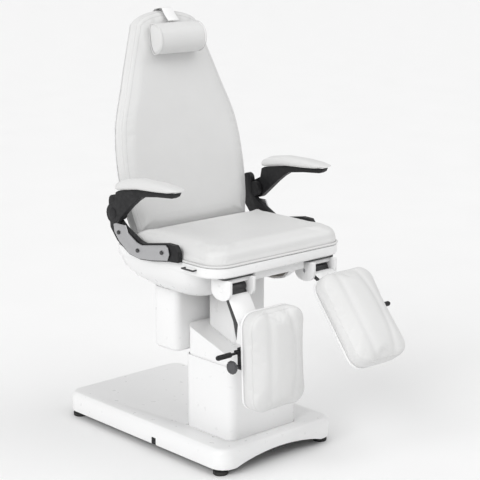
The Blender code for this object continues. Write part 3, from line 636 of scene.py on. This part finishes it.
def build_pillow():
    """A D-shaped bolster with flat sewn ends, flattened where it meets the backrest."""
    into = back_frame()
    out = into.inverted()
    low, high = local_box("head_pillow", into)
    middle_up = (low.y + high.y) / 2
    half_up = (high.y - low.y) / 2 - 0.002
    widest = high.z - 0.018  # the depth at which the D is widest
    front, rear = widest - low.z - 0.002, 0.0175

    def section(x, scale):
        ring = []
        for k in range(48):
            a = math.tau * k / 48
            up, through = math.sin(a), math.cos(a)
            up = math.copysign(abs(up) ** 0.92, up)
            reach = rear if through > 0 else front
            height, depth = middle_up + half_up * scale * up, widest + reach * scale * through
            ring.append(out @ Vector((x, height, depth)))
        return ring

    edge = high.x
    rings = []
    for x, scale in ((-edge + 0.0030, 0.30), (-edge + 0.0008, 0.72), (-edge + 0.0022, 0.93),
                     (-edge + 0.007, 0.985), (-edge * 0.55, 0.995), (0.0, 1.0),
                     (edge * 0.55, 0.995), (edge - 0.007, 0.985), (edge - 0.0022, 0.93),
                     (edge - 0.0008, 0.72), (edge - 0.0030, 0.30)):
        rings.append(section(x, scale))
    piece = make_piece("pillow_upholstery", loft(rings), "upholstery", "back")
    inflate(piece, lambda p: (into @ p).z > high.z - 0.006, 0.004, 0.006)
    room = 0.003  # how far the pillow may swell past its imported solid
    keep_within(piece, (low.x - room, low.y, low.z - room), (high.x + room, high.y, high.z), into)
    for side in (-1, 1):
        seam = section(side * (edge - 0.0035), 0.955)
        inward = out.to_3x3() @ Vector((-side, 0, 0))
        press_seam(piece, resampled(seam, 0.003), 0.0016, 0.004, inward)
    beads = bmesh.new()
    for side in (-1, 1):
        tube_shape(resampled(section(side * (edge - 0.0030), 0.975), 0.004), 0.0017, shape=beads)
    make_piece("pillow_piping", beads, "upholstery", "back")
    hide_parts("head_pillow")


# ---- arm pads --------------------------------------------------------------
def build_arm_pad(name):
    node = f"{name}_arm_pad"
    low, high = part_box(node)
    centre = (low + high) / 2
    shape = bmesh.new()
    shape.from_mesh(frame["nodes"][node].data)
    bmesh.ops.remove_doubles(shape, verts=shape.verts, dist=1e-5)
    for vertex in shape.verts:
        vertex.co = centre + (vertex.co - centre) * 0.965
        vertex.co.z = min(vertex.co.z, high.z - 0.003)
    piece = make_piece(f"{name}_arm_upholstery", shape, "upholstery", f"{name}_arm")
    base = {}
    for vertex in frame["nodes"][node].data.vertices:
        step = round(vertex.co.y, 2)
        base[step] = min(vertex.co.z, base.get(step, 9.0))
    inflate(piece, lambda p: p.z < base.get(round(p.y, 2), low.z) + 0.003, 0.003, 0.004)
    room = Vector((0.002, 0.002, 0.0))
    keep_within(piece, low - room, high + room + Vector((0.0, 0.0, 0.001)))
    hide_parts(node)


# ---- leg rests -------------------------------------------------------------
def leg_frame(name):
    """Row frame to a leg rest's own: across, back and up, from its pivot."""
    axis = Vector(joints[f"{name}_leg_extend"]["axis"])
    pitch = math.atan2(-axis.y, -axis.z)
    pivot = Vector(joints[f"{name}_leg_raise"]["pos_m"])
    return Matrix.Rotation(pitch, 4, "X") @ Matrix.Translation(-pivot)


def build_leg_pad(name):
    into = leg_frame(name)
    out = into.inverted()
    low, high = local_box(f"{name}_leg_pad", into)
    body = f"{name}_slide"
    middle = ((low.x + high.x) / 2, (low.z + high.z) / 2)
    skin = 0.001
    width = (low.x + skin, high.x - skin)
    tall = (low.z + skin, high.z - skin)

    def bulged(inset):
        """The pad's outline: its long sides bow outwards a little."""
        points = []
        for x, z in inset_outline(rounded_rectangle(width, tall, 0.047, 10), inset):
            share = (z - middle[1]) / (tall[1] - tall[0]) * 2
            bow = 1.0 + 0.045 * (1 - share * share)
            points.append((middle[0] + (x - middle[0]) * bow, z))
        return points

    def placed(points, y):
        return [out @ Vector((x, y, z)) for x, z in points]

    back, seam, front = high.y, low.y + 0.025, low.y
    rings = [placed(bulged(0.006), back - 0.0004), placed(bulged(0.001), back - 0.005)]
    rings += [placed(bulged(0.0), back - 0.016), placed(bulged(0.0), seam + 0.006)]
    rings += [placed(bulged(0.002), seam), placed(bulged(0.009), seam - 0.006)]
    for ring, rise in crown_rings(bulged(0.009), middle, seam - 0.004 - front, 9, 1.9):
        rings.append(placed(ring, seam - 0.006 - rise))
    piece = make_piece(f"{name}_leg_upholstery", loft(rings), "upholstery", body)
    inflate(piece, lambda p: (into @ p).y > back - 0.010, 0.0045, 0.007)
    keep_within(piece, (low.x - 0.009, front - 0.006, low.z - 0.002),
                (high.x + 0.009, back - 0.0002, high.z + 0.001), into)

    inward = out.to_3x3() @ Vector((0, 1, 0))
    # two soft channels down the face, bowed apart in the middle
    for side in (-1, 1):
        channel = []
        for k in range(81):
            share = k / 80 * 2 - 1
            z = middle[1] + share * (tall[1] - tall[0]) / 2
            x = middle[0] + side * (0.040 + 0.013 * (1 - share * share))
            channel.append(out @ Vector((x, seam, z)))
        channel = onto_surface(piece, channel, inward)
        press_seam(piece, channel, 0.0036, 0.0135, inward)
    edge = resampled(placed(bulged(-0.0005), seam + 0.001), 0.005)
    centre = out @ Vector((middle[0], seam, middle[1]))
    tree = path_tree(edge)
    for vertex in piece.data.vertices:
        distance = tree.find(vertex.co)[2]
        if distance < 0.012:
            inwards = (centre - vertex.co).normalized()
            vertex.co += inwards * 0.0022 * math.exp(-((distance / 0.0045) ** 2))
    bead = tube_shape(nearest_on(piece, edge), 0.0012)
    make_piece(f"{name}_leg_piping", bead, "upholstery", body)
    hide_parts(f"{name}_leg_pad")


# ---- hard pieces -----------------------------------------------------------
# edge rounding in millimetres, by the end of a node's name; anything else gets the last
ROUNDING = (
    ("base_cover", 2.0), ("column_cover", 1.2), ("sleeve_cover", 1.0), ("rear_housing", 1.5),
    ("seat_pan", 1.5), ("backrest_shell", 1.5), ("arm_lever", 3.0), ("bracket_body", 2.0),
    ("bracket_face", 1.0), ("leg_housing", 2.6), ("leg_bracket", 1.6), ("leg_board", 1.5),
    ("leg_clamp", 1.2), ("leg_lever", 1.4), ("side_hook", 1.2), ("swivel_plate", 0.8),
    ("pillow_strap", 0.5), ("foot", 0.8), ("", 0.5),
)


def finish_hard_pieces():
    """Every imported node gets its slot's material, welded seams and softly rounded edges."""
    for name, node in frame["nodes"].items():
        slot = slot_of[name]
        node.data.materials.clear()
        node.data.materials.append(MATERIALS[slot])
        if node.hide_render:
            continue
        width = next(size for ending, size in ROUNDING if name.endswith(ending)) / 1000
        weld = node.modifiers.new("weld", "WELD")
        weld.merge_threshold = 0.00002
        edges = node.modifiers.new("edges", "BEVEL")
        edges.width = width
        edges.segments = 3
        edges.limit_method = "ANGLE"
        edges.angle_limit = math.radians(35)
        edges.use_clamp_overlap = True
        edges.harden_normals = False
        node.data.shade_smooth()


def build_knob_flutes(name):
    """Ridges round the clamp knob's disc, so that it can be gripped."""
    node = frame["nodes"][f"{name}_leg_knob"]
    joint = joints[f"{name}_knob_turn"]
    axis = Vector(joint["axis"]).normalized()
    centre = Vector(joint["pos_m"])
    reach = [(v.co - centre).dot(axis) for v in node.data.vertices]
    outer = max(reach)
    shape = bmesh.new()
    profile = ((0.0, 0.0020), (0.0010, 0.0026), (0.0062, 0.0026), (0.0074, 0.0018))
    for start in circle(centre + axis * (outer - 0.0110), 0.0188, axis, 14):
        turned(start, axis, profile, 10, shape)
    make_piece(f"{name}_knob_ridges", shape, "knob_plastic", f"{name}_knob")


def build_lobe():
    """The small lug with a black screw on the inner side of the left leg bracket."""
    pivot = Vector(joints["left_leg_raise"]["pos_m"])
    centre = pivot + Vector((0.0440, -0.0310, -0.0710))
    forward = Vector((0, -1, 0))
    profile = ((0.0, 0.0100), (0.0120, 0.0100), (0.0140, 0.0085))
    lug = turned(centre - forward * 0.014, forward, profile)
    make_piece("left_leg_lug", lug, "white_plastic", "left_leg", smooth_angle=50)
    screw = turned(centre, forward, ((-0.0005, 0.0042), (0.0015, 0.0042), (0.0022, 0.0030)))
    make_piece("left_leg_screw", screw, "black_steel", "left_leg", smooth_angle=50)


def build_cap(label, centre, axis, radius, depth, slot, body):
    """A shallow domed cap on a face."""
    profile = (
        (-0.0010, radius), (depth * 0.4, radius), (depth * 0.8, radius * 0.86), (depth, radius * 0.55),
    )
    make_piece(label, turned(centre, axis, profile, 40), slot, body, smooth_angle=50)


def build_fastenings():
    build_lobe()
    for side, name in ((-1, "left"), (1, "right")):
        build_knob_flutes(name)
        low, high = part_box(f"{name}_leg_housing")
        pivot = Vector(joints[f"{name}_leg_raise"]["pos_m"])
        outside = high.x if side > 0 else low.x
        build_cap(f"{name}_housing_cap", (outside, pivot.y, pivot.z), (side, 0, 0), 0.0090, 0.0016,
                  "white_plastic", f"{name}_swivel")
        low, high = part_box(f"{name}_arm_lever")
        pivot = Vector(joints[f"{name}_arm_fold"]["pos_m"])
        outside = high.x if side > 0 else low.x
        build_cap(f"{name}_arm_cap", (outside, pivot.y, pivot.z), (side, 0, 0), 0.0190, 0.0022,
                  "black_plastic", f"{name}_arm")


# ---- light, floor and camera -----------------------------------------------
def build_studio():
    floor_shape = bmesh.new()
    bmesh.ops.create_grid(floor_shape, x_segments=1, y_segments=1, size=45.0)
    mesh = bpy.data.meshes.new("studio_floor")
    floor_shape.to_mesh(mesh)
    floor_shape.free()
    look = Look("studio_floor", (0.93, 0.93, 0.93), 0.6)
    look.paint("Roughness", look.ramp(look.noise(3.0, 3.0), 0.55, 0.7))
    mesh.materials.append(look.material)
    floor = bpy.data.objects.new("studio_floor", mesh)
    bpy.context.scene.collection.objects.link(floor)

    world = bpy.data.worlds.new("studio")
    world.use_nodes = True
    background = world.node_tree.nodes["Background"]
    background.inputs["Color"].default_value = (1.0, 1.0, 1.0, 1.0)
    background.inputs["Strength"].default_value = 0.56
    bpy.context.scene.world = world

    # suns: where each shines from, its strength and how large it looks
    for name, source, strength, spread in (
        ("key", (-1.5, -0.30, 0.95), 1.40, 40),
        ("side", (0.9, -0.9, 1.1), 0.38, 25),
        ("top", (0.1, -0.8, 1.5), 0.62, 40),
    ):
        light = bpy.data.lights.new(name, "SUN")
        light.energy = strength
        light.angle = math.radians(spread)
        lamp = bpy.data.objects.new(name, light)
        lamp.rotation_mode = "QUATERNION"
        lamp.rotation_quaternion = Vector(source).to_track_quat("Z", "Y")
        bpy.context.scene.collection.objects.link(lamp)


def build_camera():
    """Level with the armrests and above, from the sitter's front right."""
    camera_data = bpy.data.cameras.new("camera")
    camera_data.lens = 109.4
    camera_data.sensor_width = 36.0
    camera_data.clip_end = 200.0
    camera = bpy.data.objects.new("camera", camera_data)
    forward = Vector((0.6567, 0.7191, -0.2250)).normalized()
    camera.location = (-3.098, -3.4441, 1.76)
    camera.rotation_mode = "QUATERNION"
    camera.rotation_quaternion = forward.to_track_quat("-Z", "Y")
    bpy.context.scene.collection.objects.link(camera)
    bpy.context.scene.camera = camera


def build_looks():
    build_seat_cushion()
    build_back_cushion()
    build_pillow()
    for name in SIDES:
        build_arm_pad(name)
        build_leg_pad(name)
    build_fastenings()
    finish_hard_pieces()


build_camera()
build_looks()
build_studio()
bpy.context.scene.view_settings.view_transform = "Standard"
